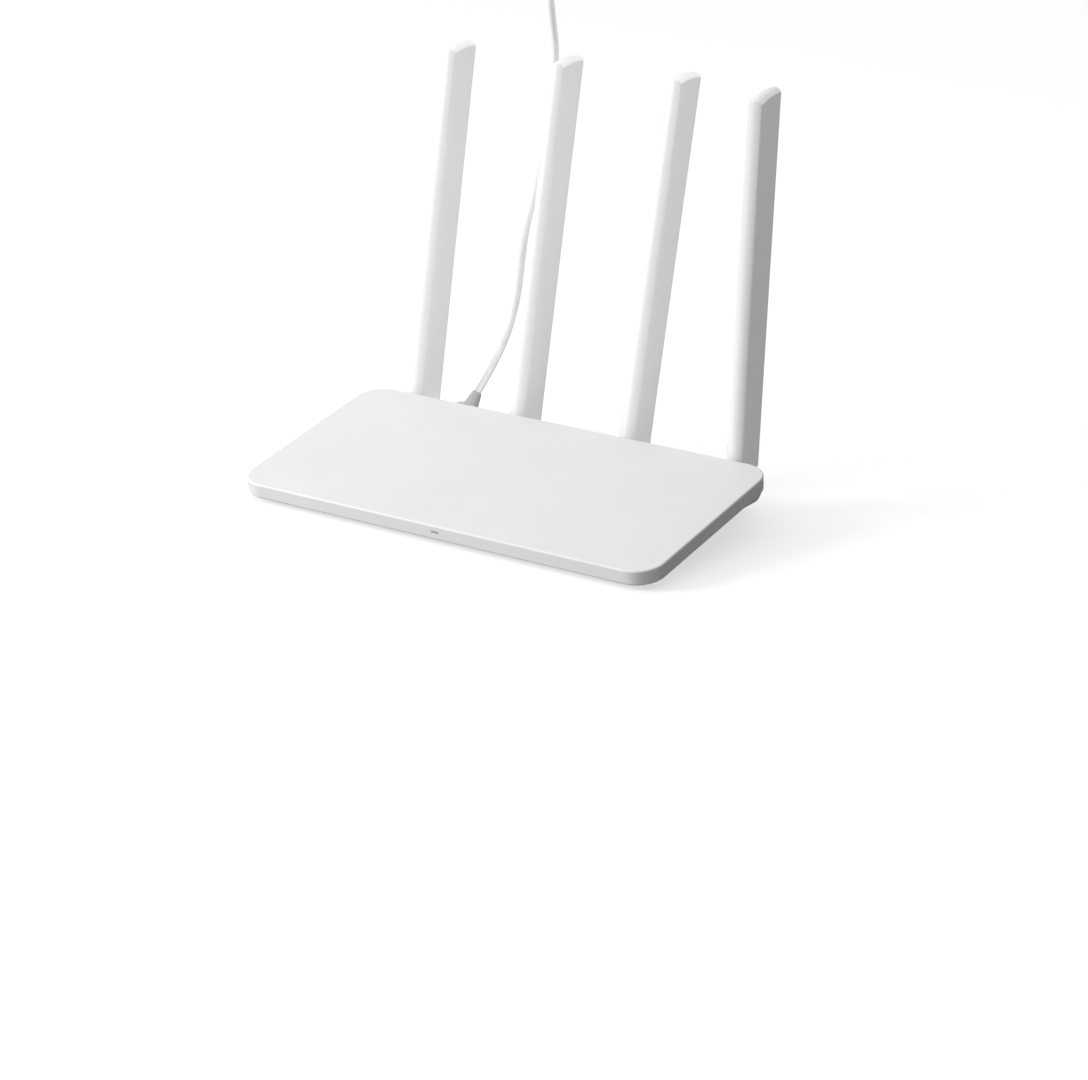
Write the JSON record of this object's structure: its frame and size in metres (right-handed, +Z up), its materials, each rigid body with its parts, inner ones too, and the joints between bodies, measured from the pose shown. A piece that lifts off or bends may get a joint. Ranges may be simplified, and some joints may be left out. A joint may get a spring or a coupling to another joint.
{
  "type": "wireless router",
  "caption": "Low white desktop wireless router with a thin forward-leaning top slab, folding flat blade antennas behind it and a thin power lead rising to a wall adapter.",
  "frame": {"origin": "middle of the bottom of the box around the router and its antennas at rest, on the surface that the feet stand on, the power lead and adapter left out", "axes": "+X to the right along the slab, +Y to the rear where the antennas stand, +Z up"},
  "size_m": [0.195, 0.2025, 0.231],
  "materials": {
    "white_shell": "satin moulded white",
    "white_base": "fine matte moulded white",
    "antenna_white": "satin moulded white",
    "steel": "plated",
    "tinned_steel": "tinned, stamped",
    "nickel": "nickel plated",
    "gold_contacts": "plated",
    "aluminium": "natural",
    "foot_rubber": "matte",
    "board_green": "solder mask",
    "socket_plastic": "moulded",
    "socket_black": "moulded",
    "button_plastic": "moulded",
    "led_lens": "clear epoxy",
    "clear_pipe": "polished clear",
    "chip_epoxy": "moulded epoxy",
    "thermal_rubber": "soft",
    "coax_sheath": "satin",
    "lead_sheath": "satin, flexible",
    "adapter_white": "satin moulded white"
  },
  "bodies": {
    "root": {"adapter_back": "adapter_white", "adapter_board": "board_green", "adapter_front": "adapter_white", "adapter_pins": "nickel", "adapter_relief": "lead_sheath", "adapter_transformer": "chip_epoxy", "antenna_1_bracket": "white_base", "antenna_1_pin": "steel", "antenna_1_washers": "nickel", "antenna_2_bracket": "white_base", "antenna_2_pin": "steel", "antenna_2_washers": "nickel", "antenna_3_bracket": "white_base", "antenna_3_pin": "steel", "antenna_3_washers": "nickel", "antenna_4_bracket": "white_base", "antenna_4_pin": "steel", "antenna_4_washers": "nickel", "board_screws": "steel", "bottom_shell": "white_base", "capacitors": "aluminium", "case_screws": "steel", "chips": "chip_epoxy", "coax_connectors": "gold_contacts", "coax_leads": "coax_sheath", "dc_jack": "socket_black", "dc_jack_pin": "nickel", "dc_plug_barrel": "nickel", "dc_plug_body": "lead_sheath", "heat_sink": "aluminium", "jack_contacts": "gold_contacts", "lan_jack_1": "socket_plastic", "lan_jack_2": "socket_plastic", "light_pipe": "clear_pipe", "main_board": "board_green", "network_magnetics": "chip_epoxy", "power_lead": "lead_sheath", "reset_switch": "socket_black", "rubber_feet": "foot_rubber", "shield_can": "tinned_steel", "status_led": "led_lens", "strain_relief": "lead_sheath", "thermal_pad": "thermal_rubber", "top_cover": "white_shell", "wan_jack": "socket_plastic"},
    "reset_button": {"reset_button": "button_plastic"},
    "antenna_1": {"antenna_1_blade": "antenna_white", "antenna_1_knuckle": "antenna_white", "antenna_1_radiator": "board_green"},
    "antenna_2": {"antenna_2_blade": "antenna_white", "antenna_2_knuckle": "antenna_white", "antenna_2_radiator": "board_green"},
    "antenna_3": {"antenna_3_blade": "antenna_white", "antenna_3_knuckle": "antenna_white", "antenna_3_radiator": "board_green"},
    "antenna_4": {"antenna_4_blade": "antenna_white", "antenna_4_knuckle": "antenna_white", "antenna_4_radiator": "board_green"}
  },
  "joints": [
    {"name": "antenna_1_fold", "type": "hinge", "parent": "root", "child": "antenna_1", "pos_m": [-0.0779, 0.03028, 0.0115], "axis": [-1, 0, 0], "range_deg": [-10, 80]},
    {"name": "antenna_2_fold", "type": "hinge", "parent": "root", "child": "antenna_2", "pos_m": [-0.0266, 0.03028, 0.0115], "axis": [-1, 0, 0], "range_deg": [-11.1, 78.9]},
    {"name": "antenna_3_fold", "type": "hinge", "parent": "root", "child": "antenna_3", "pos_m": [0.0266, 0.03028, 0.0115], "axis": [-1, 0, 0], "range_deg": [-12.7, 77.3]},
    {"name": "antenna_4_fold", "type": "hinge", "parent": "root", "child": "antenna_4", "pos_m": [0.0779, 0.03028, 0.0115], "axis": [-1, 0, 0], "range_deg": [-2.9, 87.1]},
    {"name": "reset_press", "type": "slide", "parent": "root", "child": "reset_button", "axis": [0, -1, 0], "range_m": [0, 0.0007], "stiffness_N_per_m": 600}
  ]
}
